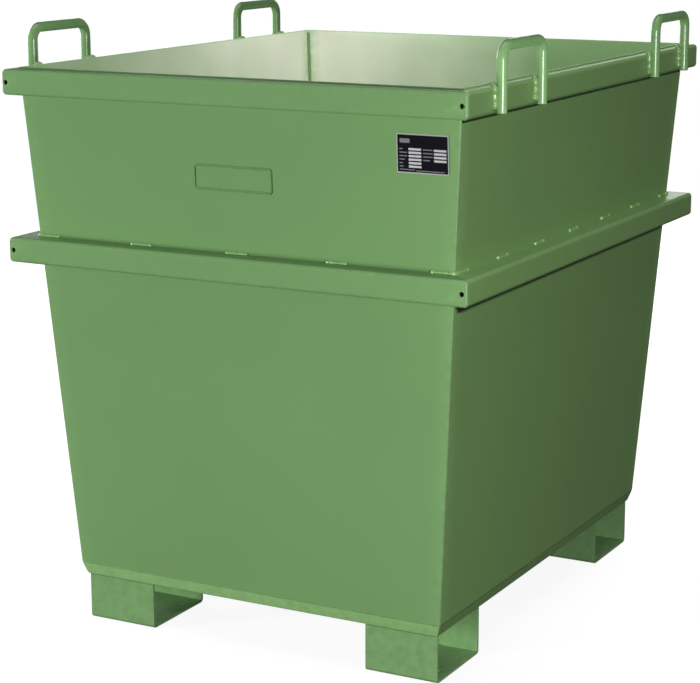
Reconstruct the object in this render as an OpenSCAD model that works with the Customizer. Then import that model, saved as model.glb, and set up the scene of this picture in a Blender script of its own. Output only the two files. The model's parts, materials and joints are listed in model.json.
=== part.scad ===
// Tapered sheet-steel container with two rims, four crane eyes and four channel feet.
// The front faces -Y, the container stands on Z = 0 and its centre is on the Z axis.

/* [Rims] */
// Outer width of both rims, across the front
rim_w = 1000; // [980:5:1100]
// Outer depth of the top rim, front to back
rim_d = 1200; // [1180:5:1300]
// Outer depth of the middle rim, front to back
mid_rim_d = 1190; // [1160:5:1300]
// Height of the top rim's upper face
rim_top_z = 1138; // [1100:1:1200]
// Height of the middle rim's upper face
mid_top_z = 807; // [700:1:850]
// Height of a rim rail
rail_h = 50; // [40:1:60]
// Sheet thickness of a rim rail
rail_t = 4; // [3:0.5:5]
// Outer radius of a rim rail's bends
rail_r = 8; // [6:0.5:10]
// Diameter of the drain holes at the ends of the front and rear rails
drain_d = 10; // [6:0.5:12]
// Distance of a drain hole's centre from the end of its rail
drain_inset = 11; // [10.5:0.5:16]

/* [Walls and floor] */
// Outer width of the walls, level with the top rim
wall_top_w = 954; // [930:1:960]
// Outer depth of the walls, level with the top rim
wall_top_d = 1144; // [1130:1:1150]
// Outer width of the walls at the seam with the floor pan
seam_w = 820; // [810:1:840]
// Outer depth of the walls at the seam with the floor pan
seam_d = 1016; // [1010:1:1030]
// Height of the seam between the walls and the floor pan
seam_z = 122; // [115:1:135]
// Width of the floor pan's underside
base_w = 802; // [790:1:804]
// Depth of the floor pan's underside
base_d = 1002; // [996:1:1004]
// Height of the floor pan's underside, which is also the height of the feet
base_z = 97; // [80:1:105]
// Sheet thickness of the walls
wall_t = 3; // [2:0.5:4]
// Sheet thickness of the floor
floor_t = 4; // [3:0.5:6]
// Height of the walls' upper edge above the top rim
wall_rise = 3; // [1:0.5:5]

/* [Feet] */
// Length of a foot, from its outer to its inner open end
foot_l = 155; // [140:1:180]
// Width of a foot, front to back
foot_w = 187; // [170:1:200]
// Sheet thickness of a foot
foot_t = 5; // [4:0.5:6]
// Outer radius of a foot's bends
foot_r = 8; // [7:0.5:10]
// Distance between the outer ends of a left and a right foot
feet_span_w = 798; // [780:1:800]
// Distance between the outer walls of a front and a rear foot
feet_span_d = 990; // [970:1:994]
// Diameter of the anchor holes in a foot
anchor_d = 9; // [6:0.5:14]
// Spacing of the anchor holes along a foot
anchor_dx = 115; // [80:1:120]
// Spacing of the anchor holes across a foot
anchor_dy = 80; // [60:1:120]

/* [Lifting eyes] */
// Diameter of the eye's round bar
eye_bar = 20; // [16:1:22]
// Distance between the centres of an eye's legs
eye_span = 180; // [150:1:200]
// Distance of an eye's centre from the container's centre, front to back
eye_y = 390; // [350:1:420]
// Height of the top of an eye
eye_top_z = 1220; // [1210:1:1260]
// Radius of the bar's centre line in its bends
eye_bend_r = 25; // [22:1:40]
// Distance of a leg's lower end above the rail's lower face
eye_leg_rise = 2; // [0:1:10]

/* [Data plate and blank field] */
// Width of the data plate
plate_w = 104; // [90:1:120]
// Height of the data plate
plate_h = 72; // [60:1:80]
// Thickness of the data plate
plate_t = 1; // [0.5:0.5:2]
// Distance of the data plate's centre to the right of the centre
plate_x = 397; // [300:1:400]
// Height of the data plate's centre
plate_z = 1021; // [950:1:1030]
// Width of the pressed blank field on the front wall
field_w = 172; // [100:1:240]
// Height of the pressed blank field
field_h = 50; // [30:1:80]
// Height of the blank field's centre
field_z = 951; // [900:1:1000]
// How far the blank field's raised border stands out
field_rise = 1.2; // [0.5:0.1:2]
// Width of the blank field's raised border
field_border = 5; // [3:0.5:8]

/* [Welds] */
// Radius of the weld beads on the middle rim and in the corners
bead_r = 4; // [3:0.5:5]
// Length of a stitch weld on the middle rim
stitch_l = 50; // [30:1:50]
// Distance between stitch welds along the front and rear rails
stitch_pitch_x = 215; // [150:5:215]
// Distance between stitch welds along the side rails
stitch_pitch_y = 173.5; // [120:0.5:175]

/* [Hidden] */

$fn = 48;
// Overshoot of a cutting solid past the face that it cuts
over = 2;
// Reach of a cutting solid that has to pass the whole container
far = 3000;
paint = [0.38, 0.56, 0.36];
plate_colour = [0.12, 0.12, 0.13];
weld_colour = [0.42, 0.60, 0.39];

wall_top_z = rim_top_z + wall_rise;
wall_run_x = (wall_top_w - seam_w) / 2;
wall_run_y = (wall_top_d - seam_d) / 2;
wall_rise_z = rim_top_z - seam_z;
front_tilt = atan(wall_run_y / wall_rise_z);
rail_reach = 80;
foot_x = (feet_span_w - foot_l) / 2;
foot_y = (feet_span_d - foot_w) / 2;
eye_x = rim_w / 2 + eye_bar / 2;
eye_bar_z = eye_top_z - eye_bar / 2;
rail_bottom_z = rim_top_z - rail_h;
stitches_x = 5;
stitches_y = 7;
field_corner_r = 8;

// Half of the walls' outer width and depth at height z
function wall_half_x(z) = seam_w / 2 + (z - seam_z) * wall_run_x / wall_rise_z;
function wall_half_y(z) = seam_d / 2 + (z - seam_z) * wall_run_y / wall_rise_z;
// Half of the floor pan's outer width and depth at height z
function pan_half_x(z) = base_w / 2 + (z - base_z) * (seam_w - base_w) / 2 / (seam_z - base_z);
function pan_half_y(z) = base_d / 2 + (z - base_z) * (seam_d - base_d) / 2 / (seam_z - base_z);

// Solid between two tapered sides, given as half widths at heights z0 and z1
module tapered_sides(half0, half1, z0, z1) {
    rotate([90, 0, 0])
        linear_extrude(height = far, center = true)
            polygon([[-half0, z0], [half0, z0], [half1, z1], [-half1, z1]]);
}

// Solid between the left and right walls' outer faces, moved inward by inset
module between_sides(inset, z0, z1) {
    tapered_sides(wall_half_x(z0) - inset, wall_half_x(z1) - inset, z0, z1);
}

// Solid between the front and rear walls' outer faces, moved inward by inset
module between_ends(inset, z0, z1) {
    rotate([0, 0, 90])
        tapered_sides(wall_half_y(z0) - inset, wall_half_y(z1) - inset, z0, z1);
}

// Everything inside the walls' outer faces
module body_solid(z0, z1) {
    intersection() {
        between_sides(0, z0, z1);
        between_ends(0, z0, z1);
    }
}

// Everything on the positive Y side of the container
module rear_half() {
    translate([-far / 2, 0, -over])
        cube([far, far, far]);
}

// Everything on the positive X side of the container
module right_half() {
    translate([0, -far / 2, -over])
        cube([far, far, far]);
}

// Front wall's plate, as wide as the container
module end_wall() {
    difference() {
        body_solid(seam_z, wall_top_z);
        between_ends(wall_t, seam_z - over, wall_top_z + over);
        rear_half();
    }
}

// Right wall's plate, held between the front and rear walls
module side_wall() {
    intersection() {
        difference() {
            between_sides(0, seam_z, wall_top_z);
            between_sides(wall_t, seam_z - over, wall_top_z + over);
        }
        between_ends(wall_t, seam_z, wall_top_z);
        right_half();
    }
}

// Rectangle with rounded corners, centred
module rounded_field(w, h, r) {
    union() {
        square([w - 2 * r, h], center = true);
        square([w, h - 2 * r], center = true);
        for (sx = [-1, 1])
            for (sy = [-1, 1])
                translate([sx * (w / 2 - r), sy * (h / 2 - r)])
                    circle(r);
    }
}

// Places a part on the front wall's outer face, at x and z, facing out
module on_front(x, z) {
    translate([x, -wall_half_y(z), z])
        rotate([90 + front_tilt, 0, 0])
            children();
}

// Raised border of the blank field
module blank_field() {
    on_front(0, field_z)
        linear_extrude(height = field_rise)
            difference() {
                rounded_field(field_w, field_h, field_corner_r);
                rounded_field(field_w - 2 * field_border, field_h - 2 * field_border,
                              field_corner_r - field_border);
            }
}

module front_wall() {
    color(paint)
        union() {
            end_wall();
            blank_field();
        }
}

module rear_wall() {
    color(paint)
        mirror([0, 1, 0])
            end_wall();
}

module right_wall() {
    color(paint)
        side_wall();
}

module left_wall() {
    color(paint)
        mirror([1, 0, 0])
            side_wall();
}

// Floor plate with four short flanges that the walls stand on
module floor_pan() {
    z_in = base_z + floor_t;
    z_out = seam_z + over;
    color(paint)
        difference() {
            intersection() {
                tapered_sides(base_w / 2, seam_w / 2, base_z, seam_z);
                rotate([0, 0, 90])
                    tapered_sides(base_d / 2, seam_d / 2, base_z, seam_z);
            }
            intersection() {
                tapered_sides(pan_half_x(z_in) - wall_t, pan_half_x(z_out) - wall_t, z_in, z_out);
                rotate([0, 0, 90])
                    tapered_sides(pan_half_y(z_in) - wall_t, pan_half_y(z_out) - wall_t,
                                  z_in, z_out);
            }
        }
}

// Rectangle from the origin with its two corners on the left edge rounded
module channel_outline(w, h, r) {
    union() {
        translate([r, 0])
            square([w - r, h]);
        translate([0, r])
            square([w, h - 2 * r]);
        translate([r, r])
            circle(r);
        translate([r, h - r])
            circle(r);
    }
}

// Channel section of a rail: web at the origin, flanges towards +X
module rail_section() {
    difference() {
        channel_outline(rail_reach, rail_h, rail_r);
        translate([rail_t, rail_t])
            channel_outline(rail_reach, rail_h - 2 * rail_t, rail_r - rail_t);
    }
}

// Rail along the front of a rim w wide and d deep, mitred at both ends
module front_rail(w, d, top_z) {
    difference() {
        intersection() {
            translate([0, -d / 2, top_z - rail_h])
                rotate([90, 0, 90])
                    linear_extrude(height = far, center = true)
                        rail_section();
            linear_extrude(height = top_z + over)
                polygon([
                    [-w / 2, -d / 2], [w / 2, -d / 2],
                    [w / 2 - rail_reach, rail_reach - d / 2],
                    [rail_reach - w / 2, rail_reach - d / 2]
                ]);
        }
        body_solid(top_z - rail_h - over, top_z + over);
    }
}

// Rail along the right side of a rim w wide and d deep, mitred at both ends
module right_rail(w, d, top_z) {
    difference() {
        intersection() {
            translate([w / 2, 0, top_z - rail_h])
                mirror([1, 0, 0])
                    rotate([90, 0, 0])
                        linear_extrude(height = far, center = true)
                            rail_section();
            linear_extrude(height = top_z + over)
                polygon([
                    [w / 2, -d / 2], [w / 2, d / 2],
                    [w / 2 - rail_reach, d / 2 - rail_reach],
                    [w / 2 - rail_reach, rail_reach - d / 2]
                ]);
        }
        body_solid(top_z - rail_h - over, top_z + over);
    }
}

// Front rail with a drain hole through its web at each end
module drained_rail(w, d, top_z) {
    difference() {
        front_rail(w, d, top_z);
        for (side = [-1, 1])
            translate([side * (w / 2 - drain_inset), over - d / 2 + rail_t, top_z - rail_h / 2])
                rotate([90, 0, 0])
                    cylinder(d = drain_d, h = rail_t + 2 * over);
    }
}

module top_rail_front() {
    color(paint)
        drained_rail(rim_w, rim_d, rim_top_z);
}

module top_rail_rear() {
    color(paint)
        mirror([0, 1, 0])
            drained_rail(rim_w, rim_d, rim_top_z);
}

module top_rail_right() {
    color(paint)
        right_rail(rim_w, rim_d, rim_top_z);
}

module top_rail_left() {
    color(paint)
        mirror([1, 0, 0])
            right_rail(rim_w, rim_d, rim_top_z);
}

module mid_rail_front() {
    color(paint)
        drained_rail(rim_w, mid_rim_d, mid_top_z);
}

module mid_rail_rear() {
    color(paint)
        mirror([0, 1, 0])
            drained_rail(rim_w, mid_rim_d, mid_top_z);
}

module mid_rail_right() {
    color(paint)
        right_rail(rim_w, mid_rim_d, mid_top_z);
}

module mid_rail_left() {
    color(paint)
        mirror([1, 0, 0])
            right_rail(rim_w, mid_rim_d, mid_top_z);
}

// Quarter bend of the eye's bar, from pointing up to pointing towards -Y
module eye_bend() {
    rotate([90, 0, 90])
        rotate_extrude(angle = 90)
            translate([eye_bend_r, 0])
                circle(d = eye_bar);
}

// Round bar bent to a U, with its legs on the outside of the right top rail
module lifting_eye() {
    leg_z = rail_bottom_z + eye_leg_rise;
    bend_y = eye_span / 2 - eye_bend_r;
    bend_z = eye_bar_z - eye_bend_r;
    color(paint)
        translate([eye_x, 0, 0])
            union() {
                translate([0, bend_y, eye_bar_z])
                    rotate([90, 0, 0])
                        cylinder(d = eye_bar, h = 2 * bend_y);
                for (end = [0, 1])
                    mirror([0, end, 0]) {
                        translate([0, eye_span / 2, leg_z])
                            cylinder(d = eye_bar, h = bend_z - leg_z);
                        translate([0, bend_y, bend_z])
                            eye_bend();
                    }
            }
}

// Weld beads on both sides of an eye's two legs
module eye_welds() {
    bead = eye_bar / 4;
    bead_z = rail_bottom_z + rail_r;
    bead_h = rail_h - 2 * rail_r;
    color(weld_colour)
        for (leg = [-1, 1])
            for (side = [-1, 1])
                translate([0, leg * eye_span / 2, bead_z])
                    difference() {
                        translate([rim_w / 2 + bead / 2, side * (eye_bar / 2 - bead / 4), 0])
                            cylinder(r = bead, h = bead_h);
                        translate([eye_x, 0, -over])
                            cylinder(d = eye_bar, h = bead_h + 2 * over);
                        translate([rim_w / 2 - far, -far / 2, -over])
                            cube([far, far, bead_h + 2 * over]);
                    }
}

// Places an eye, or its welds, at one of the four corners
module at_eye(right, front) {
    translate([0, front ? -eye_y : eye_y, 0])
        mirror([right ? 0 : 1, 0, 0])
            children();
}

module lifting_eye_front_left() { at_eye(false, true) lifting_eye(); }
module lifting_eye_front_right() { at_eye(true, true) lifting_eye(); }
module lifting_eye_rear_left() { at_eye(false, false) lifting_eye(); }
module lifting_eye_rear_right() { at_eye(true, false) lifting_eye(); }

module eye_welds_front_left() { at_eye(false, true) eye_welds(); }
module eye_welds_front_right() { at_eye(true, true) eye_welds(); }
module eye_welds_rear_left() { at_eye(false, false) eye_welds(); }
module eye_welds_rear_right() { at_eye(true, false) eye_welds(); }

// U section of a foot: two walls and a bottom plate, centred across Y
module foot_outline(w, h, r) {
    union() {
        translate([-w / 2, r])
            square([w, h - r]);
        translate([r - w / 2, 0])
            square([w - 2 * r, h]);
        for (side = [-1, 1])
            translate([side * (w / 2 - r), r])
                circle(r);
    }
}

// Foot bent from sheet, open at its outer and inner ends
module foot() {
    color(paint)
        difference() {
            rotate([90, 0, 90])
                linear_extrude(height = foot_l, center = true)
                    difference() {
                        foot_outline(foot_w, base_z, foot_r);
                        translate([0, foot_t])
                            foot_outline(foot_w - 2 * foot_t, base_z, foot_r - foot_t);
                    }
            for (sx = [-1, 1])
                for (sy = [-1, 1])
                    translate([sx * anchor_dx / 2, sy * anchor_dy / 2, -over])
                        cylinder(d = anchor_d, h = foot_t + 2 * over);
        }
}

module foot_front_left() { translate([-foot_x, -foot_y, 0]) foot(); }
module foot_front_right() { translate([foot_x, -foot_y, 0]) foot(); }
module foot_rear_left() { translate([-foot_x, foot_y, 0]) foot(); }
module foot_rear_right() { translate([foot_x, foot_y, 0]) foot(); }

// Weld bead in the upright inside corner at the rear right
module corner_weld() {
    x0 = wall_half_x(seam_z) - wall_t;
    y0 = wall_half_y(seam_z) - wall_t;
    run = norm([wall_run_x, wall_run_y]);
    lean = atan(run / wall_rise_z);
    length = norm([run, wall_rise_z]) + 2 * over;
    color(weld_colour)
        intersection() {
            translate([x0, y0, seam_z])
                rotate([0, 0, atan2(wall_run_y, wall_run_x)])
                    rotate([0, lean, 0])
                        cylinder(r = bead_r, h = length);
            between_sides(wall_t, seam_z, rim_top_z);
            between_ends(wall_t, seam_z, rim_top_z);
        }
}

module corner_weld_rear_right() { corner_weld(); }
module corner_weld_rear_left() { mirror([1, 0, 0]) corner_weld(); }
module corner_weld_front_right() { mirror([0, 1, 0]) corner_weld(); }
module corner_weld_front_left() { mirror([1, 0, 0]) mirror([0, 1, 0]) corner_weld(); }

// Short weld bead along Y, between the right wall and the middle rim's upper face
module stitch_right(y) {
    translate([wall_half_x(mid_top_z), y, mid_top_z])
        rotate([90, 0, 0])
            cylinder(r = bead_r, h = stitch_l, center = true);
}

// Short weld bead along X, between the rear wall and the middle rim's upper face
module stitch_rear(x) {
    translate([x, wall_half_y(mid_top_z), mid_top_z])
        rotate([0, 90, 0])
            cylinder(r = bead_r, h = stitch_l, center = true);
}

module mid_rim_stitch_welds() {
    color(weld_colour)
        difference() {
            union() {
                for (i = [0 : stitches_y - 1])
                    for (end = [0, 1])
                        mirror([end, 0, 0])
                            stitch_right((i - (stitches_y - 1) / 2) * stitch_pitch_y);
                for (i = [0 : stitches_x - 1])
                    for (end = [0, 1])
                        mirror([0, end, 0])
                            stitch_rear((i - (stitches_x - 1) / 2) * stitch_pitch_x);
            }
            body_solid(mid_top_z - rail_h, mid_top_z + rail_h);
            translate([-far / 2, -far / 2, mid_top_z - rail_h])
                cube([far, far, rail_h]);
        }
}

// Flat plate on the front wall, upper right
module data_plate() {
    color(plate_colour)
        on_front(plate_x, plate_z)
            translate([-plate_w / 2, -plate_h / 2, 0])
                cube([plate_w, plate_h, plate_t]);
}

front_wall();
rear_wall();
left_wall();
right_wall();
floor_pan();
top_rail_front();
top_rail_rear();
top_rail_left();
top_rail_right();
mid_rail_front();
mid_rail_rear();
mid_rail_left();
mid_rail_right();
lifting_eye_front_left();
lifting_eye_front_right();
lifting_eye_rear_left();
lifting_eye_rear_right();
eye_welds_front_left();
eye_welds_front_right();
eye_welds_rear_left();
eye_welds_rear_right();
foot_front_left();
foot_front_right();
foot_rear_left();
foot_rear_right();
corner_weld_front_left();
corner_weld_front_right();
corner_weld_rear_left();
corner_weld_rear_right();
mid_rim_stitch_welds();
data_plate();
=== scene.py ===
"""Looks of the tapered two-rim sheet-steel container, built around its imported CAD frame.

Every length is in metres. The front faces -Y, and the container stands on Z = 0.
"""
import json
import math
import random

import bmesh
import bpy
from mathutils import Matrix, Vector, noise

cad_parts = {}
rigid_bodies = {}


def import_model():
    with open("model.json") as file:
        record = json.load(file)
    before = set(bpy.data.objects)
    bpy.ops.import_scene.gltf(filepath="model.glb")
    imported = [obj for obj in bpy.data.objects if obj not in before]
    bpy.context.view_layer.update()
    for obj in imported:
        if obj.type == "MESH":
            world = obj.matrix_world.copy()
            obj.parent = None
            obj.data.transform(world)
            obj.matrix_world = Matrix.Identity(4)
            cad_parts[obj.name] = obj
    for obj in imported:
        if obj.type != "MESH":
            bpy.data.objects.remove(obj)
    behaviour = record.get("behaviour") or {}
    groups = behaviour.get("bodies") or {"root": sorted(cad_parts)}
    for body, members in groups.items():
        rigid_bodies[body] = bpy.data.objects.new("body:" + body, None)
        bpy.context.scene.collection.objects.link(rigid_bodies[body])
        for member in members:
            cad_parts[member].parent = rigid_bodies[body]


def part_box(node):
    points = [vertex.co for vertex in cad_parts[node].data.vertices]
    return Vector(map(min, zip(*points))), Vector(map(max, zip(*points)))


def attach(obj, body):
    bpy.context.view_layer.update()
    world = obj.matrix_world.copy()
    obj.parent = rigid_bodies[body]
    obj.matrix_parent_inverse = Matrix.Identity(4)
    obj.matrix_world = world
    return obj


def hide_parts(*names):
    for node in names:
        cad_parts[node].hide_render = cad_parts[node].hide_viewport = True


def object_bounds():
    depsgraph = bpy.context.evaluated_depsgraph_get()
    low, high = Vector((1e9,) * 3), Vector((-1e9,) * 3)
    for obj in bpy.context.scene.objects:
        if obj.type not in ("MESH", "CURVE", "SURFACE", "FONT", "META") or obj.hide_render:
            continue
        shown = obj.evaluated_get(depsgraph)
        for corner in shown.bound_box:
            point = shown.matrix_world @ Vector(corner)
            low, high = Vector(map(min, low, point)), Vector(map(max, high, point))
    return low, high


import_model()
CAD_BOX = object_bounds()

MM = 0.001
BODY = "root"

# Sizes that the boxes of the CAD nodes don't give
WALL_T = 3 * MM
FLOOR_T = 4 * MM
PAN_BASE_HALF_X = 401 * MM
PAN_BASE_HALF_Y = 501 * MM
PAN_BEND = 2.5 * MM
RAIL_T = 4 * MM
RAIL_BEND = 8 * MM
TOP_RIM_CORNER = 8 * MM
MID_RIM_CORNER = 5 * MM
DRAIN_R = 5 * MM
DRAIN_INSET = 11 * MM
FOOT_T = 5 * MM
FOOT_BEND = 8 * MM
FOOT_EDGE = 0.7 * MM
ANCHOR_R = 4.5 * MM
ANCHOR_DX = 115 * MM
ANCHOR_DY = 80 * MM
EYE_BEND = 25 * MM
EYE_CHAMFER = 1.5 * MM
FIELD_W = 172 * MM
FIELD_H = 50 * MM
FIELD_Z = 951 * MM
FIELD_BORDER = 5 * MM
FIELD_RISE = 1.2 * MM
FIELD_CORNER = 8 * MM
STITCH_L = 50 * MM
STITCHES_X = 5
STITCHES_Y = 7
STITCH_PITCH_X = 215 * MM
STITCH_PITCH_Y = 173.5 * MM

# How finely curved shapes are divided
BEND_STEPS = 10
CORNER_STEPS = 6
BAR_STEPS = 32
BEAD_STEPS = 12
WALL_CELLS = 26
RAIL_CELLS = 20

# The two ends and two sides: front, right, rear, left, as quarter turns
SIDES = ("front", "right", "rear", "left")
CORNERS = {
    "front_left": (-1, -1),
    "front_right": (1, -1),
    "rear_left": (-1, 1),
    "rear_right": (1, 1),
}

PAN_LO, PAN_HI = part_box("floor_pan")
FRONT_LO, FRONT_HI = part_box("front_wall")
SEAM_Z = PAN_HI.z
WALL_TOP_Z = FRONT_HI.z


def wall_half(z):
    """Half of the walls' outer width and depth at height z."""
    share = (z - SEAM_Z) / (WALL_TOP_Z - SEAM_Z)
    half_x = PAN_HI.x + share * (FRONT_HI.x - PAN_HI.x)
    half_y = PAN_HI.y + share * (-FRONT_LO.y - PAN_HI.y)
    return half_x, half_y


def wave(x, z, seed, size=0.35):
    """A smooth number around 0 that says how far a sheet is out of flat."""
    return noise.noise(Vector((x / size, z / size, seed)))


# ---------------------------------------------------------------- materials


def node(tree, kind, **values):
    """A shader node with its inputs and settings filled in by name."""
    made = tree.nodes.new(kind)
    for name, value in values.items():
        if name in made.inputs:
            made.inputs[name].default_value = value
        else:
            setattr(made, name, value)
    return made


def ramp(tree, source, low, high, at=(0.3, 0.7)):
    """A colour ramp between two colours or grey levels, driven by source."""
    made = tree.nodes.new("ShaderNodeValToRGB")
    for stop, position, colour in zip(made.color_ramp.elements, at, (low, high)):
        stop.position = position
        stop.color = colour if isinstance(colour, tuple) else (colour, colour, colour, 1)
    tree.links.new(source, made.inputs["Fac"])
    return made.outputs["Color"]


def blend(tree, factor, first, second):
    """Mixes two colours by a factor. Each colour is an output or a plain value."""
    made = tree.nodes.new("ShaderNodeMix")
    made.data_type = "RGBA"
    tree.links.new(factor, made.inputs["Factor"])
    for socket, value in (("A", first), ("B", second)):
        target = next(s for s in made.inputs if s.name == socket and s.type == "RGBA")
        if isinstance(value, tuple):
            target.default_value = value
        else:
            tree.links.new(value, target)
    return next(s for s in made.outputs if s.type == "RGBA")


def noise_at(tree, place, scale, detail=2.0, rough=0.5):
    """A noise texture's level, in the object's own coordinates."""
    made = node(tree, "ShaderNodeTexNoise", Scale=scale, Detail=detail, Roughness=rough)
    tree.links.new(place, made.inputs["Vector"])
    return made.outputs["Fac"]


def bump(tree, height, distance, strength, before=None):
    """A bump in metres on top of another one."""
    made = node(tree, "ShaderNodeBump", Distance=distance, Strength=strength)
    tree.links.new(height, made.inputs["Height"])
    if before is not None:
        tree.links.new(before, made.inputs["Normal"])
    return made.outputs["Normal"]


def new_material(name):
    """An empty node material, its surface shader and its object coordinates."""
    material = bpy.data.materials.new(name)
    material.use_nodes = True
    tree = material.node_tree
    shader = tree.nodes["Principled BSDF"]
    place = tree.nodes.new("ShaderNodeTexCoord").outputs["Object"]
    return material, tree, shader, place


def enamel(name, colour, rough=(0.36, 0.44), peel=0.25, haze=0.02, painted_glare=None):
    """Sprayed enamel: orange peel, uneven gloss, slight clouding, dust, a painted highlight along sharp
    edges, and, when asked, a painted glare wash.
    """
    material, tree, shader, place = new_material(name)
    deep = tuple(0.975 * c for c in colour) + (1,)
    pale = tuple(1.025 * c for c in colour) + (1,)
    dust = (0.36, 0.41, 0.32, 1)
    # Painted highlight: sharp edges are made lighter in patches, standing in for the highlight lines
    # along them.
    edge_highlight = tuple(min(1.0, 1.25 * c + 0.02) for c in colour) + (1,)
    clouds = ramp(tree, noise_at(tree, place, 3.0, 3.0), deep, pale)
    specks = ramp(tree, noise_at(tree, place, 900.0, 1.0), 0.0, 0.35, (0.62, 0.8))
    streaks = ramp(tree, noise_at(tree, place, 14.0, 6.0, 0.65), 0.0, haze, (0.55, 0.75))
    edge = node(tree, "ShaderNodeAttribute", attribute_name="edge").outputs["Fac"]
    edge_highlight_share = node(tree, "ShaderNodeMath", operation="MULTIPLY")
    tree.links.new(edge, edge_highlight_share.inputs[0])
    tree.links.new(ramp(tree, noise_at(tree, place, 60.0, 4.0), 0.15, 0.8), edge_highlight_share.inputs[1])
    # Painted glare: a pale wash that brightens the paint round one point.
    if painted_glare is not None:
        clouds = paint_on_glare(tree, place, clouds, *painted_glare)
    dusty = blend(tree, streaks, clouds, dust)
    speckled = blend(tree, specks, dusty, pale)
    with_edge_highlight = blend(tree, edge_highlight_share.outputs[0], speckled, edge_highlight)
    tree.links.new(with_edge_highlight, shader.inputs["Base Color"])
    gloss = ramp(tree, noise_at(tree, place, 22.0, 4.0), *rough)
    tree.links.new(gloss, shader.inputs["Roughness"])
    shader.inputs["IOR"].default_value = 1.5
    sag = bump(tree, noise_at(tree, place, 45.0, 2.0), 0.0012, 0.2 * peel)
    skin = bump(tree, noise_at(tree, place, 420.0, 1.5), 0.0005, peel, sag)
    tree.links.new(skin, shader.inputs["Normal"])
    return material


def paint_on_glare(tree, place, paint, colour, low, high, glare_centre):
    """Painted glare: a pale wash over the paint, strongest at one point and fainter further away."""
    reach = (1.2, 0.6, 1.0)
    stretch = node(tree, "ShaderNodeMapping", Scale=reach)
    tree.links.new(place, stretch.inputs["Vector"])
    away = node(tree, "ShaderNodeVectorMath", operation="DISTANCE")
    away.inputs[1].default_value = tuple(a * b for a, b in zip(glare_centre, reach))
    tree.links.new(stretch.outputs["Vector"], away.inputs[0])
    uneven = node(tree, "ShaderNodeMath", operation="MULTIPLY_ADD")
    uneven.inputs[1].default_value = 0.35
    tree.links.new(noise_at(tree, place, 7.0, 3.0), uneven.inputs[0])
    tree.links.new(away.outputs["Value"], uneven.inputs[2])
    glare_share = ramp(tree, uneven.outputs[0], high, low, (0.15, 0.95))
    return blend(tree, glare_share, paint, colour)


def printed(name, colour, metal=0.0, rough=(0.3, 0.45), grain=0.03):
    """Thin print or bare aluminium on the data plate, with fine brushing along its width."""
    material, tree, shader, place = new_material(name)
    stretch = node(tree, "ShaderNodeMapping", Scale=(1.0, 1.0, 14.0))
    tree.links.new(place, stretch.inputs["Vector"])
    brushed = noise_at(tree, stretch.outputs["Vector"], 260.0, 3.0)
    dark = tuple(c * (1 - 2 * grain) for c in colour) + (1,)
    light = tuple(min(1.0, c * (1 + 2 * grain) + 0.002) for c in colour) + (1,)
    tree.links.new(ramp(tree, brushed, dark, light), shader.inputs["Base Color"])
    tree.links.new(ramp(tree, noise_at(tree, place, 90.0, 3.0), *rough), shader.inputs["Roughness"])
    shader.inputs["Metallic"].default_value = metal
    tree.links.new(bump(tree, brushed, 0.0001, 0.15), shader.inputs["Normal"])
    return material


GREEN = (0.158, 0.302, 0.116)
PAINT = enamel("green_enamel", GREEN)
INSIDE_CORNER = (-wall_half(WALL_TOP_Z)[0], wall_half(WALL_TOP_Z)[1], WALL_TOP_Z - 0.05)
# The inside paint carries a painted glare, a pale wash strongest at the inside rear-left corner near the
# top.
INSIDE_GLARE_PAINT = enamel(
    "green_enamel_inside", GREEN, rough=(0.40, 0.50), peel=0.4,
    painted_glare=((0.76, 0.78, 0.66, 1), 0.04, 0.85, INSIDE_CORNER),
)
FOOT_GREEN = tuple(0.94 * c for c in GREEN)
FOOT_PAINT = enamel("green_enamel_feet", FOOT_GREEN, rough=(0.42, 0.52), haze=0.03)
BAR_PAINT = enamel("green_enamel_bars", GREEN, rough=(0.2, 0.28), peel=0.3)
WELD_PAINT = enamel("green_enamel_welds", GREEN, rough=(0.2, 0.3), peel=0.5)
PLATE_BLACK = printed("plate_black", (0.012, 0.010, 0.016))
PLATE_METAL = printed("plate_bare_edge", (0.62, 0.68, 0.60), metal=0.1)
PLATE_WHITE = printed("plate_fields", (0.82, 0.82, 0.85))
PLATE_GREY = printed("plate_labels", (0.30, 0.30, 0.32))


# ---------------------------------------------------------------- mesh tools


def skin(bm, sections, closed=False):
    """Faces through a row of closed rings of points, with both ends capped, or closed in a loop."""
    rows = [[bm.verts.new(p) for p in ring] for ring in sections]
    pairs = list(zip(rows, rows[1:] + rows[:1]))
    for one, two in pairs if closed else pairs[:-1]:
        for i in range(len(one)):
            j = (i + 1) % len(one)
            bm.faces.new((one[i], one[j], two[j], two[i]))
    if not closed:
        bm.faces.new(rows[0][::-1])
        bm.faces.new(rows[-1])


def rounded_box(bm, low, high, radius):
    """A box with its edges rounded off."""
    made = bmesh.ops.create_cube(bm, size=1.0)["verts"]
    size = high - low
    for v in made:
        v.co = low + Vector((v.co[i] + 0.5) * size[i] for i in range(3))
    edges = list({e for v in made for e in v.link_edges})
    bmesh.ops.bevel(bm, geom=edges, offset=radius, segments=2, affect="EDGES", profile=0.5)


def arc(centre, radius, start, end, steps=BEND_STEPS):
    """Points of an arc in a plane, as (first, second) pairs; angles are in degrees."""
    turns = [math.radians(start + (end - start) * i / steps) for i in range(steps + 1)]
    return [(centre[0] + radius * math.cos(a), centre[1] + radius * math.sin(a)) for a in turns]


def mark_edges(bm):
    """Stores on each vertex how sharply the faces turn there, for the paint's painted edge highlight."""
    layer = bm.verts.layers.float.new("edge")
    for v in bm.verts:
        turn = max((e.calc_face_angle(0.0) for e in v.link_edges if len(e.link_faces) == 2), default=0.0)
        length = min((e.calc_length() for e in v.link_edges), default=1.0)
        v[layer] = min(1.0, turn / max(length, 0.5 * MM) * 3 * MM)


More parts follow.
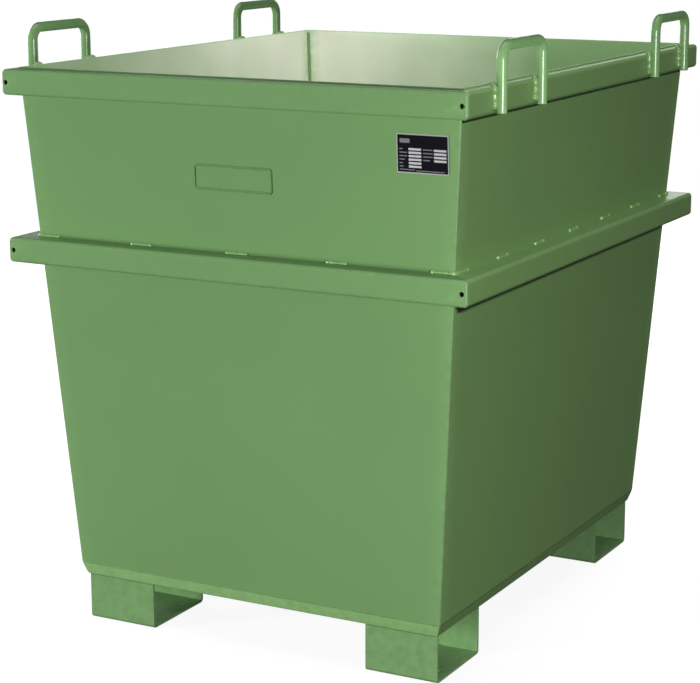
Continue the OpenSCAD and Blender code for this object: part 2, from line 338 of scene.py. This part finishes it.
def piece(name, bm, material, slot, *nodes, bevel=0.0, holes=None):
    """Turns a mesh into a piece of the container that stands for the CAD nodes named."""
    bmesh.ops.remove_doubles(bm, verts=bm.verts, dist=0.002 * MM)
    bmesh.ops.recalc_face_normals(bm, faces=bm.faces)
    mesh = bpy.data.meshes.new(name)
    bm.to_mesh(mesh)
    bm.free()
    made = bpy.data.objects.new(name, mesh)
    bpy.context.scene.collection.objects.link(made)
    if holes:
        drill(made, holes)
    if bevel:
        soften(made, bevel)
    finish_mesh(made)
    made.data.materials.clear()
    made.data.materials.append(material)
    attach(made, BODY)
    if nodes:
        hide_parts(*nodes)
    return made


def finish_mesh(made):
    """Edge levels for the painted edge highlight, smooth shading with sharp creases, and face normals
    that keep flats flat.
    """
    bm = bmesh.new()
    bm.from_mesh(made.data)
    mark_edges(bm)
    bm.to_mesh(made.data)
    bm.free()
    made.data.polygons.foreach_set("use_smooth", [True] * len(made.data.polygons))
    made.data.set_sharp_from_angle(angle=math.radians(50))
    weighted = made.modifiers.new("flat_normals", "WEIGHTED_NORMAL")
    weighted.keep_sharp = True


def apply_modifiers(made):
    """Replaces an object's mesh with its modified one."""
    graph = bpy.context.evaluated_depsgraph_get()
    old = made.data
    made.data = bpy.data.meshes.new_from_object(made.evaluated_get(graph))
    made.modifiers.clear()
    bpy.data.meshes.remove(old)


def drill(made, holes):
    """Cuts round holes, each given as centre, direction, radius and length."""
    bm = bmesh.new()
    for centre, direction, radius, length in holes:
        turn = direction.to_track_quat("Z", "Y").to_matrix().to_4x4()
        bmesh.ops.create_cone(
            bm, cap_ends=True, segments=BAR_STEPS, radius1=radius, radius2=radius,
            depth=length, matrix=Matrix.Translation(centre) @ turn,
        )
    mesh = bpy.data.meshes.new("cutter")
    bm.to_mesh(mesh)
    bm.free()
    cutter = bpy.data.objects.new("cutter", mesh)
    bpy.context.scene.collection.objects.link(cutter)
    cut = made.modifiers.new("holes", "BOOLEAN")
    cut.operation = "DIFFERENCE"
    cut.solver = "EXACT"
    cut.object = cutter
    apply_modifiers(made)
    bpy.data.objects.remove(cutter)


def soften(made, width):
    """Rounds the sharp edges of a mesh."""
    rounded = made.modifiers.new("softened", "BEVEL")
    rounded.width = width
    rounded.segments = 3
    rounded.limit_method = "ANGLE"
    rounded.angle_limit = math.radians(50)
    apply_modifiers(made)


# ---------------------------------------------------------------- walls and floor


def end_wall_ring(z, inset, side, seed):
    """Section of the front (side -1) or rear (side 1) wall at height z, its faces moved in by inset."""
    half_x, half_y = wall_half(z)
    edge = 2.5 * MM
    window = math.sin(math.pi * min(1, max(0, (z - SEAM_Z) / (WALL_TOP_Z - SEAM_Z))))
    flat = half_x - edge

    def sag(x):
        return 0.5 * MM * wave(x, z, seed) * window * math.cos(0.5 * math.pi * x / half_x)

    corner = arc((-flat, -(half_y - edge)), edge - inset, 180, 270, CORNER_STEPS)
    across = [flat * (2 * i / WALL_CELLS - 1) for i in range(1, WALL_CELLS)]
    outer = corner + [(x, -half_y + inset + sag(x)) for x in across]
    outer += [(-x, y) for x, y in reversed(corner)]
    inner_y = -half_y + WALL_T - inset
    inner = [(half_x - inset, inner_y)]
    inner += [(x, inner_y + sag(x)) for x in reversed(across)]
    inner += [(-half_x + inset, inner_y)]
    return [Vector((x, -side * y, z)) for x, y in outer + inner]


def side_wall_ring(z, inset, side, seed):
    """Section of the left (side -1) or right (side 1) wall at height z, its faces moved in by inset."""
    half_x, half_y = wall_half(z)
    reach = half_y - WALL_T
    window = math.sin(math.pi * min(1, max(0, (z - SEAM_Z) / (WALL_TOP_Z - SEAM_Z))))
    along = [reach * (2 * i / WALL_CELLS - 1) for i in range(WALL_CELLS + 1)]

    def sag(y):
        return 0.7 * MM * wave(y, z, seed) * window * math.cos(0.5 * math.pi * y / reach)

    outer = [(half_x - inset + sag(y), y) for y in along]
    inner = [(half_x - WALL_T + inset + sag(y), y) for y in reversed(along)]
    return [Vector((side * x, y, z)) for x, y in outer + inner]


def wall(name, ring, side, seed):
    """A wall sheet with slightly rounded upper and lower edges."""
    round_edge = 0.7 * MM
    flat_edge = 4 * MM
    low, high = SEAM_Z + 0.2 * MM, WALL_TOP_Z
    levels = [(low, round_edge), (low + round_edge, 0)]
    inner = [low + (high - low) * i / WALL_CELLS for i in range(1, WALL_CELLS)]
    levels += [(low + flat_edge, 0)] + [(z, 0) for z in inner] + [(high - flat_edge, 0)]
    levels += [(high - round_edge, 0), (high - 0.3 * round_edge, 0.4 * round_edge), (high, round_edge)]
    bm = bmesh.new()
    skin(bm, [ring(z, inset, side, seed) for z, inset in levels])
    paint_inside(piece(f"{name}_sheet", bm, PAINT, "green_paint", name))


def paint_inside(made):
    """Gives the faces that look into the container the paint with the painted glare."""
    made.data.materials.append(INSIDE_GLARE_PAINT)
    for face in made.data.polygons:
        inward = -face.center.x * face.normal.x - face.center.y * face.normal.y
        if inward > 0.2 and abs(face.normal.z) < 0.3:
            face.material_index = 1


def rectangle_ring(half_x, half_y, radius, z):
    """A rounded rectangle at height z."""
    points = []
    for turn, (sx, sy) in enumerate(((1, 1), (-1, 1), (-1, -1), (1, -1))):
        centre = (sx * (half_x - radius), sy * (half_y - radius))
        points += arc(centre, radius, 90 * turn, 90 * turn + 90, CORNER_STEPS)
    return [Vector((x, y, z)) for x, y in points]


def floor_pan():
    """The floor with its flanges, bent from one sheet and let in under the walls."""
    lean_x = (PAN_HI.x - PAN_BASE_HALF_X) / (PAN_HI.z - PAN_LO.z)
    lean_y = (PAN_HI.y - PAN_BASE_HALF_Y) / (PAN_HI.z - PAN_LO.z)
    bend = PAN_BEND
    inner_corner = 2 * MM
    inner_bend = 3 * MM
    top_edge = 0.8 * MM
    top = PAN_HI.z - 0.2 * MM

    def ring(z, inset, radius):
        down = PAN_HI.z - z
        half_x = PAN_HI.x - lean_x * down - inset
        half_y = PAN_HI.y - lean_y * down - inset
        return rectangle_ring(half_x, half_y, radius, z)

    outer = [ring(PAN_LO.z + bend + s, bend + c, bend) for c, s in arc((0, 0), bend, 270, 180)]
    flange = [ring(top - top_edge, 0, bend), ring(top, top_edge, bend)]
    floor_z = PAN_LO.z + FLOOR_T
    inside = [ring(top, WALL_T, inner_corner), ring(floor_z + inner_bend, WALL_T, inner_corner)]
    inside += [ring(floor_z, WALL_T + inner_bend, inner_corner)]
    bm = bmesh.new()
    skin(bm, outer + flange + inside)
    piece("floor_pan_sheet", bm, PAINT, "green_paint", "floor_pan")


# ---------------------------------------------------------------- rims


def channel_section(height):
    """A rail's section: distance in from its outer face, or None at the wall, and height."""
    inner_bend = RAIL_BEND - RAIL_T
    upper, lower = (RAIL_BEND, height - RAIL_BEND), (RAIL_BEND, RAIL_BEND)
    outside = arc(upper, RAIL_BEND, 90, 180) + arc(lower, RAIL_BEND, 180, 270)
    inside = arc(lower, inner_bend, 270, 180) + arc(upper, inner_bend, 180, 90)
    return [(None, height), *outside, (None, 0), (None, RAIL_T), *inside, (None, height - RAIL_T)]


def side_ring(side, half_x, half_y, radius, z):
    """One side of a rounded rectangle at height z, from one corner's middle to the next one's."""
    ends = []
    for corner in (0, 1):
        middle = 90 * (side + corner) - 135
        sx = math.copysign(1, math.cos(math.radians(middle)))
        sy = math.copysign(1, math.sin(math.radians(middle)))
        centre = (sx * (half_x - radius), sy * (half_y - radius))
        start = middle - 45 * corner
        ends.append(arc(centre, radius, start, start + 45, CORNER_STEPS))
    first, last = Vector(ends[0][-1]), Vector(ends[1][0])
    between = [first.lerp(last, i / RAIL_CELLS) for i in range(1, RAIL_CELLS)]
    return [Vector((x, y, z)) for x, y in ends[0] + [tuple(p) for p in between] + ends[1]]


def rail(rim, side, corner):
    """A channel rail of a rim, with half of the rounded, dressed corner at each end."""
    node_name = f"{rim}_rail_{SIDES[side]}"
    half_x, half_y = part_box(f"{rim}_rail_right")[1].x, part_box(f"{rim}_rail_rear")[1].y
    low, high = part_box(node_name)
    rows = []
    for inset, height in channel_section(high.z - low.z):
        z = low.z + height
        if inset is None:
            wall_x, wall_y = wall_half(z)
            rows.append(side_ring(side, wall_x - 0.3 * MM, wall_y - 0.3 * MM, 0.5 * MM, z))
        else:
            radius = max(corner - inset, 0.5 * MM)
            rows.append(side_ring(side, half_x - inset, half_y - inset, radius, z))
    bm = bmesh.new()
    skin(bm, list(zip(*rows)))
    holes = []
    if SIDES[side] in ("front", "rear"):
        y = math.copysign(half_y - RAIL_T / 2, low.y + high.y)
        z = (low.z + high.z) / 2
        places = [Vector((sx * (half_x - DRAIN_INSET), y, z)) for sx in (-1, 1)]
        holes = [(place, Vector((0, 1, 0)), DRAIN_R, 6 * RAIL_T) for place in places]
    piece(f"{node_name}_channel", bm, PAINT, "green_paint", node_name, holes=holes)


# ---------------------------------------------------------------- welds


def frames_along(path):
    """A point, side direction and second side direction for each point of a path."""
    frames = []
    side = None
    for i, point in enumerate(path):
        ahead = (path[min(i + 1, len(path) - 1)] - path[max(i - 1, 0)]).normalized()
        if side is None:
            side = ahead.orthogonal()
        side = (side - side.dot(ahead) * ahead).normalized()
        frames.append((point, side, ahead.cross(side)))
    return frames


def resample(corners, step):
    """Points at an even step along a path of straight runs."""
    points = [corners[0]]
    for start, end in zip(corners, corners[1:]):
        count = max(1, round((end - start).length / step))
        points += [start.lerp(end, i / count) for i in range(1, count + 1)]
    return points


def bead(bm, path, radius, lump, rng, end_lump=0.0):
    """A lumpy weld bead along a path, rounded off at both ends, with a crater at each end if wanted."""
    travelled = [0.0]
    for start, end in zip(path, path[1:]):
        travelled.append(travelled[-1] + (end - start).length)
    total = travelled[-1]
    shift = rng.uniform(0, 50)
    phase = rng.uniform(0, math.pi)
    sections = []
    for at, (point, one, two) in zip(travelled, frames_along(path)):
        near_end = min(at, total - at)
        round_off = math.sqrt(max(0.02, 1 - (1 - min(1, near_end / radius)) ** 2))
        ripple = 0.82 + 0.2 * abs(math.sin(math.pi * at / lump + phase))
        ripple += 0.16 * noise.noise(Vector((at / lump * 0.7, shift, 0)))
        crater = end_lump * math.exp(-((near_end - radius) / (0.8 * radius)) ** 2)
        ring = []
        for k in range(BEAD_STEPS):
            turn = 2 * math.pi * k / BEAD_STEPS
            rough = 1 + 0.14 * noise.noise(Vector((at / (0.5 * lump), 2 * math.cos(turn), shift)))
            reach = radius * round_off * (ripple + crater) * rough
            ring.append(point + reach * (math.cos(turn) * one + math.sin(turn) * two))
        sections.append(ring)
    skin(bm, sections)


def corner_weld(name, sx, sy, seed):
    """The upright fillet weld inside a corner."""
    rng = random.Random(seed)
    corners = []
    levels = 34
    for i in range(levels + 1):
        z = SEAM_Z + 2 * MM + (WALL_TOP_Z - 6 * MM - SEAM_Z) * i / levels
        half_x, half_y = wall_half(z)
        inset = WALL_T + rng.uniform(1.8, 2.8) * MM
        corners.append(Vector((sx * (half_x - inset), sy * (half_y - inset), z)))
    bm = bmesh.new()
    bead(bm, resample(corners, 2.5 * MM), 4 * MM, 9 * MM, rng)
    piece(f"corner_weld_{name}_bead", bm, WELD_PAINT, "weld_paint", f"corner_weld_{name}")


def stitch_welds():
    """Short beads along the upper face of the middle rim, which stand for one CAD node."""
    rng = random.Random(11)
    bm = bmesh.new()
    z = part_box("mid_rail_front")[1].z + 0.4 * MM
    half_x, half_y = wall_half(z)
    runs = []
    for i in range(STITCHES_Y):
        y = (i - (STITCHES_Y - 1) / 2) * STITCH_PITCH_Y
        runs += [(Vector((s * half_x, y, z)), Vector((0, 1, 0))) for s in (-1, 1)]
    for i in range(STITCHES_X):
        x = (i - (STITCHES_X - 1) / 2) * STITCH_PITCH_X
        runs += [(Vector((x, s * half_y, z)), Vector((1, 0, 0))) for s in (-1, 1)]
    for middle, along in runs:
        length = STITCH_L * rng.uniform(0.9, 1.0)
        ends = [middle - along * length / 2, middle + along * length / 2]
        bead(bm, resample(ends, 1.4 * MM), 2.9 * MM, 6 * MM, rng, end_lump=0.75)
    piece("mid_rim_stitch_beads", bm, WELD_PAINT, "weld_paint", "mid_rim_stitch_welds")


def rim_corner_welds():
    """Heavier beads round the four wall corners on the middle rim, and light ones under it."""
    rng = random.Random(23)
    low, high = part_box("mid_rail_front")
    bm = bmesh.new()
    heavy = (high.z + 0.6 * MM, 11 * MM, 4.6 * MM)
    light = (low.z - 0.6 * MM, 9 * MM, 3 * MM)
    for z, reach, radius in (heavy, light):
        half_x, half_y = wall_half(z)
        for sx, sy in CORNERS.values():
            corners = [
                Vector((sx * (half_x - reach), sy * (half_y + 0.6 * MM), z)),
                Vector((sx * (half_x + 0.2 * MM), sy * (half_y + 0.2 * MM), z)),
                Vector((sx * (half_x + 0.6 * MM), sy * (half_y - 1.4 * reach), z)),
            ]
            bead(bm, resample(corners, 1.2 * MM), radius, 6 * MM, rng, end_lump=0.2)
    piece("mid_rim_corner_beads", bm, WELD_PAINT, "weld_paint")


def pan_seam():
    """The thin, ground-down bead between the walls and the floor pan."""
    rng = random.Random(31)
    half_x, half_y = wall_half(SEAM_Z)
    inset = 1.1 * MM
    ring = rectangle_ring(half_x - inset, half_y - inset, 2.5 * MM, SEAM_Z + 0.1 * MM)
    bm = bmesh.new()
    for start, end in zip(ring, ring[1:] + ring[:1]):
        if (end - start).length > 0.1:
            bead(bm, resample([start, end], 4 * MM), 1.3 * MM, 7 * MM, rng)
    piece("pan_seam_bead", bm, WELD_PAINT, "weld_paint")


# ---------------------------------------------------------------- lifting eyes


def eye_facts(name):
    """Lowest and highest corner of an eye, its bar's radius, and its legs' distance from its middle."""
    low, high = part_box(f"lifting_eye_{name}")
    radius = (high.x - low.x) / 2
    reach = (high.y - low.y) / 2 - radius
    return low, high, radius, reach


def lifting_eye(name):
    """Round bar bent to a U, welded to the outside of the top rim."""
    low, high, radius, reach = eye_facts(name)
    x = (low.x + high.x) / 2
    middle_y = (low.y + high.y) / 2
    foot_z = low.z
    bar_z = high.z - radius
    left = arc((-reach + EYE_BEND, bar_z - EYE_BEND), EYE_BEND, 180, 90, 14)
    leg = [(-reach, foot_z + (bar_z - EYE_BEND - foot_z) * i / 8) for i in range(8)]
    half = leg + left
    line = half + [(-y, z) for y, z in reversed(half)]
    path = [Vector((x, middle_y + y, z)) for y, z in line]
    across = Vector((1, 0, 0))
    sections = []
    for i, point in enumerate(path):
        ahead = (path[min(i + 1, len(path) - 1)] - path[max(i - 1, 0)]).normalized()
        sections.append((point, ahead.cross(across), radius))
    up = Vector((0, 0, EYE_CHAMFER))
    end, other, full = sections[0]
    sections[0] = (end, other, full - EYE_CHAMFER)
    sections.insert(1, (end + up, other, full))
    end, other, full = sections[-1]
    sections[-1] = (end, other, full - EYE_CHAMFER)
    sections.insert(-1, (end + up, other, full))
    rings = []
    for point, other, reach_out in sections:
        turns = [2 * math.pi * k / BAR_STEPS for k in range(BAR_STEPS)]
        rings.append([point + reach_out * (math.cos(t) * across + math.sin(t) * other) for t in turns])
    bm = bmesh.new()
    skin(bm, rings)
    piece(f"lifting_eye_{name}_bar", bm, BAR_PAINT, "green_paint", f"lifting_eye_{name}")


def eye_welds(name, seed):
    """Lumpy beads up both sides of each leg, joined by a collar over the rim's upper bend."""
    rng = random.Random(seed)
    low, high, radius, reach = eye_facts(name)
    side = math.copysign(1, low.x + high.x)
    middle_y = (low.y + high.y) / 2
    foot_z = low.z
    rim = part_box("top_rail_right")[1]
    rim_x, rim_z = rim.x, rim.z
    bm = bmesh.new()
    for leg in (-1, 1):
        y = middle_y + leg * reach
        beside = radius * 0.9
        upper = rim_z - 0.55 * RAIL_BEND
        line = [
            (rim_x + 1.2 * MM, -beside, foot_z + 5 * MM),
            (rim_x + 0.8 * MM, -beside, upper),
            (rim_x - 2.2 * MM, -0.6 * beside, rim_z - 0.8 * MM),
            (rim_x - 3.2 * MM, 0, rim_z - 0.3 * MM),
            (rim_x - 2.2 * MM, 0.6 * beside, rim_z - 0.8 * MM),
            (rim_x + 0.8 * MM, beside, upper),
            (rim_x + 1.2 * MM, beside, foot_z + 5 * MM),
        ]
        path = resample([Vector((side * px, y + py, pz)) for px, py, pz in line], 1.3 * MM)
        bead(bm, path, 6.3 * MM, 15 * MM, rng, end_lump=0.1)
    piece(f"eye_welds_{name}_beads", bm, WELD_PAINT, "weld_paint", f"eye_welds_{name}")


# ---------------------------------------------------------------- feet


def foot(name):
    """A foot bent from sheet, open at its outer and inner ends, with four anchor holes."""
    low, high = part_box(f"foot_{name}")
    middle = (low + high) / 2
    half = (high.y - low.y) / 2
    top = high.z
    inner_bend = FOOT_BEND - FOOT_T
    outside = [(-half, top)] + arc((-half + FOOT_BEND, FOOT_BEND), FOOT_BEND, 180, 270)
    inside = [(-half + FOOT_T, top)] + arc((-half + FOOT_BEND, FOOT_BEND), inner_bend, 180, 270)
    outline = outside + [(-y, z) for y, z in reversed(outside)]
    outline += [(-y, z) for y, z in inside] + [(y, z) for y, z in reversed(inside)]
    sections = [[Vector((x, middle.y + y, z)) for y, z in outline] for x in (low.x, high.x)]
    holes = []
    for sx in (-1, 1):
        for sy in (-1, 1):
            place = Vector((middle.x + sx * ANCHOR_DX / 2, middle.y + sy * ANCHOR_DY / 2, FOOT_T / 2))
            holes.append((place, Vector((0, 0, 1)), ANCHOR_R, 4 * FOOT_T))
    bm = bmesh.new()
    skin(bm, sections)
    piece(
        f"foot_{name}_channel", bm, FOOT_PAINT, "green_paint", f"foot_{name}",
        bevel=FOOT_EDGE, holes=holes,
    )


def foot_welds(name, seed):
    """Fillet beads between a foot's two walls and the underside of the floor pan."""
    rng = random.Random(seed)
    low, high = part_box(f"foot_{name}")
    bm = bmesh.new()
    for y in (low.y, high.y):
        ends = [Vector((x, y, high.z - 0.6 * MM)) for x in (low.x + 6 * MM, high.x - 6 * MM)]
        bead(bm, resample(ends, 2 * MM), 2.6 * MM, 7 * MM, rng)
    piece(f"foot_{name}_beads", bm, WELD_PAINT, "weld_paint")


# ---------------------------------------------------------------- data plate and blank field


def front_tilt():
    """How far the front wall leans out, in radians."""
    return math.atan((-FRONT_LO.y - PAN_HI.y) / (WALL_TOP_Z - SEAM_Z))


def on_front(x, z):
    """The frame of a part on the front wall: x to the right, y up the wall, z out of it."""
    half_y = wall_half(z)[1]
    turn = Matrix.Rotation(math.radians(90) + front_tilt(), 4, "X")
    return Matrix.Translation((x, -half_y, z)) @ turn


def blank_field():
    """The raised border of the blank pressed field."""
    half = FIELD_BORDER / 2
    profile = arc((0, 0), 1, 180, 0, 10)
    sections = []
    for across, up in [*profile, (0.9, -1), (-0.9, -1)]:
        offset = half * across
        ring = rectangle_ring(
            FIELD_W / 2 - half + offset, FIELD_H / 2 - half + offset,
            FIELD_CORNER - half + offset, FIELD_RISE * up,
        )
        sections.append(ring)
    bm = bmesh.new()
    skin(bm, sections, closed=True)
    bm.transform(on_front(0, FIELD_Z))
    piece("blank_field_border", bm, PAINT, "green_paint")


def plate_bars(name, bars, material, slot, place, width, height, base):
    """Thin bars on the data plate. Each is its left end, right end, middle and height, as shares."""
    bm = bmesh.new()
    for left, right, middle, tall in bars:
        low = Vector(((left - 0.5) * width, (0.5 - middle - tall / 2) * height, base - 0.2 * MM))
        high = Vector(((right - 0.5) * width, (0.5 - middle + tall / 2) * height, base + 0.12 * MM))
        rounded_box(bm, low, high, 0.08 * MM)
    bm.transform(place)
    piece(name, bm, material, slot)


def data_plate():
    """A printed aluminium plate with a bare edge and plain bars in place of any lettering."""
    low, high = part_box("data_plate")
    width = high.x - low.x
    tilt = front_tilt()
    thick = 1 * MM
    height = (high.z - low.z - thick * math.sin(tilt)) / math.cos(tilt)
    place = on_front((low.x + high.x) / 2, (low.z + high.z + thick * math.sin(tilt)) / 2)
    bm = bmesh.new()
    rounded_box(
        bm, Vector((-width / 2, -height / 2, -0.3 * MM)),
        Vector((width / 2, height / 2, thick)), 0.25 * MM,
    )
    bm.transform(place)
    piece("data_plate_body", bm, PLATE_METAL, "plate_print", "data_plate")
    border = 2.6 * MM
    bm = bmesh.new()
    rounded_box(
        bm, Vector((border - width / 2, border - height / 2, 0.2 * MM)),
        Vector((width / 2 - border, height / 2 - border, thick + 0.08 * MM)), 0.05 * MM,
    )
    bm.transform(place)
    piece("data_plate_print", bm, PLATE_BLACK, "plate_print")
    base = thick + 0.06 * MM
    first_row, pitch = 0.39, 0.087
    label_tall, field_tall, footer_tall = 0.028, 0.055, 0.024
    label_ends = (0.12, 0.21, 0.21, 0.16, 0.12, 0.14)
    labels = [(0.06, end, first_row + i * pitch, label_tall) for i, end in enumerate(label_ends)]
    right_ends = (0.69, 0.69, 0.69, 0.64)
    labels += [(0.51, end, first_row + i * pitch, label_tall) for i, end in enumerate(right_ends)]
    labels += [(0.06, 0.35, 0.905, footer_tall), (0.37, 0.91, 0.925, footer_tall)]
    fields = [(0.235, 0.475, first_row + i * pitch, field_tall) for i in range(6)]
    fields += [(0.715, 0.95, first_row + 0.005 + i * pitch, field_tall) for i in range(4)]
    labels += [(0.07, 0.26, 0.185, 0.11)]
    plate_bars("data_plate_labels", labels, PLATE_GREY, "plate_print", place, width, height, base)
    plate_bars("data_plate_fields", fields, PLATE_WHITE, "plate_print", place, width, height, base)


# ---------------------------------------------------------------- the container


wall("front_wall", end_wall_ring, -1, 2.1)
wall("rear_wall", end_wall_ring, 1, 5.7)
wall("left_wall", side_wall_ring, -1, 8.3)
wall("right_wall", side_wall_ring, 1, 11.9)
floor_pan()
for side_index in range(len(SIDES)):
    rail("top", side_index, TOP_RIM_CORNER)
    rail("mid", side_index, MID_RIM_CORNER)
for order, (corner_name, (corner_x, corner_y)) in enumerate(CORNERS.items()):
    lifting_eye(corner_name)
    eye_welds(corner_name, 41 + order)
    foot(corner_name)
    foot_welds(corner_name, 61 + order)
    corner_weld(corner_name, corner_x, corner_y, 81 + order)
stitch_welds()
rim_corner_welds()
pan_seam()
blank_field()
data_plate()


# ---------------------------------------------------------------- floor, light and camera


def stage_floor():
    """A pale floor that glows for the camera and sends no light back onto the container."""
    bm = bmesh.new()
    bmesh.ops.create_grid(bm, x_segments=8, y_segments=8, size=60.0)
    mesh = bpy.data.meshes.new("studio_floor")
    bm.to_mesh(mesh)
    bm.free()
    made = bpy.data.objects.new("studio_floor", mesh)
    bpy.context.scene.collection.objects.link(made)
    made.location.z = -0.3 * MM
    material, tree, shader, place = new_material("studio_floor_paper")
    tone = ramp(tree, noise_at(tree, place, 0.8, 2.0), 0.20, 0.22)
    tree.links.new(tone, shader.inputs["Base Color"])
    shader.inputs["Roughness"].default_value = 0.9
    shader.inputs["Specular IOR Level"].default_value = 0.0
    shader.inputs["Emission Color"].default_value = (1, 1, 1, 1)
    shader.inputs["Emission Strength"].default_value = 0.92
    made.data.materials.append(material)
    made.visible_diffuse = False
    made.visible_glossy = False


def studio_world():
    """A white backdrop for the camera that gives the container only a low, even light."""
    world = bpy.data.worlds.new("studio")
    bpy.context.scene.world = world
    world.use_nodes = True
    tree = world.node_tree
    background = tree.nodes["Background"]
    seen = tree.nodes.new("ShaderNodeLightPath").outputs["Is Camera Ray"]
    tone = blend(tree, seen, (0.05, 0.05, 0.05, 1), (1.0, 1.0, 1.0, 1))
    tree.links.new(tone, background.inputs["Color"])


def softbox(name, azimuth, height, distance, width, tall, power, target, tint=(1, 1, 1)):
    """A soft rectangular lamp that faces target. Azimuth 0 is in front, and 90 on the right."""
    turn = math.radians(azimuth)
    lamp = bpy.data.lights.new(name, "AREA")
    lamp.shape = "RECTANGLE"
    lamp.size = width
    lamp.size_y = tall
    lamp.energy = power
    lamp.color = tint
    made = bpy.data.objects.new(name, lamp)
    bpy.context.scene.collection.objects.link(made)
    away = (math.sin(turn) * distance, -math.cos(turn) * distance, height - target.z)
    made.location = target + Vector(away)
    made.visible_camera = False
    made.rotation_mode = "QUATERNION"
    made.rotation_quaternion = (target - made.location).to_track_quat("-Z", "Y")
    return made


# How the names of the visible pieces end; the hidden CAD nodes' names don't
PIECE_ENDINGS = ("sheet", "channel", "bar", "beads", "bead")


def light_only(lamp, *names):
    """Keeps a lamp's light on the pieces whose names start like this, by light linking."""
    receivers = bpy.data.collections.new(f"{lamp.name}_receivers")
    for made in bpy.data.objects:
        if made.name.startswith(names) and made.name.endswith(PIECE_ENDINGS):
            receivers.objects.link(made)
    lamp.light_linking.receiver_collection = receivers
    return receivers


def sky_light(strength, spread):
    """Even light from straight above, so that the whole floor has one tone."""
    lamp = bpy.data.lights.new("overhead", "SUN")
    lamp.energy = strength
    lamp.angle = math.radians(spread)
    made = bpy.data.objects.new("overhead", lamp)
    bpy.context.scene.collection.objects.link(made)


# The camera solved from the photograph, its lens then lengthened by 0.3 % to match the outlines.
# Angles are in degrees and the distance in metres. The rest is in millimetres, and the aim is
# measured from the middle of the CAD box.
CAMERA_AZIMUTH = 28.297
CAMERA_ELEVATION = 12.552
CAMERA_ROLL = -0.153
CAMERA_AIM = (-2.7, -95.4, -61.8)
CAMERA_DISTANCE = 4.3465
CAMERA_LENS = 106.42
CAMERA_SENSOR = 36.0


def camera(centre):
    """The camera at the photograph's viewing angle."""
    azimuth = math.radians(CAMERA_AZIMUTH)
    elevation = math.radians(CAMERA_ELEVATION)
    roll = math.radians(CAMERA_ROLL)
    target = centre + Vector(CAMERA_AIM) * MM
    level_part = math.cos(elevation)
    ahead = Vector((
        -math.sin(azimuth) * level_part,
        math.cos(azimuth) * level_part,
        -math.sin(elevation),
    ))
    level = Vector((math.cos(azimuth), math.sin(azimuth), 0))
    upright = level.cross(ahead)
    right = math.cos(roll) * level + math.sin(roll) * upright
    above = math.cos(roll) * upright - math.sin(roll) * level
    data = bpy.data.cameras.new("camera")
    data.sensor_width = CAMERA_SENSOR
    data.lens = CAMERA_LENS
    data.clip_end = 200.0
    made = bpy.data.objects.new("camera", data)
    bpy.context.scene.collection.objects.link(made)
    turn = Matrix((right, above, -ahead)).transposed().to_4x4()
    made.matrix_world = Matrix.Translation(target - CAMERA_DISTANCE * ahead) @ turn
    bpy.context.scene.camera = made


CENTRE = (CAD_BOX[0] + CAD_BOX[1]) / 2
stage_floor()
studio_world()
broad_light = softbox("front_left_light", -45, 0.8, 6.0, 1.8, 1.4, 335, CENTRE)
broad_light.visible_glossy = False
front_light = softbox("front_right_light", 50, 0.8, 2.5, 0.6, 0.6, 29, CENTRE)
light_only(front_light, "front_wall", "top_rail_front", "mid_rail_front", "foot", "lifting_eye")
right_light = softbox("right_light", 36, 2.0, 4.4, 0.5, 0.08, 172, CENTRE, tint=(0.98, 0.92, 0.80))
right_side = light_only(
    right_light, "right_wall", "top_rail_right", "mid_rail_right", "mid_rim", "floor_pan", "eye_welds",
)
right_light.light_linking.blocker_collection = right_side
softbox("rear_light", 205, 1.6, 4.5, 3.2, 1.6, 42, CENTRE)
back_light = softbox("back_light", 180, 1.2, 5.0, 2.0, 1.4, 130, CENTRE)
back_light.visible_glossy = False
softbox("left_light", -115, 1.4, 4.5, 1.6, 1.2, 60, CENTRE)
inside_light = softbox(
    "inside_light", 40, 2.2, 1.7, 0.5, 0.5, 25, Vector(INSIDE_CORNER), tint=(1.0, 0.95, 0.96),
)
light_only(inside_light, "left_wall", "rear_wall", "corner_weld_rear_left")
corner_light = softbox("corner_light", 45, 1.54, 0.38, 0.25, 0.25, 2.2, Vector(INSIDE_CORNER))
light_only(corner_light, "left_wall", "rear_wall")
bar_light = softbox("bar_light", 42, 0.8, 3.2, 0.4, 1.0, 40, CENTRE)
bar_light.light_linking.blocker_collection = light_only(bar_light, "lifting_eye")
sky_light(1.2, 50)
camera(CENTRE)
bpy.context.scene.view_settings.view_transform = "Standard"
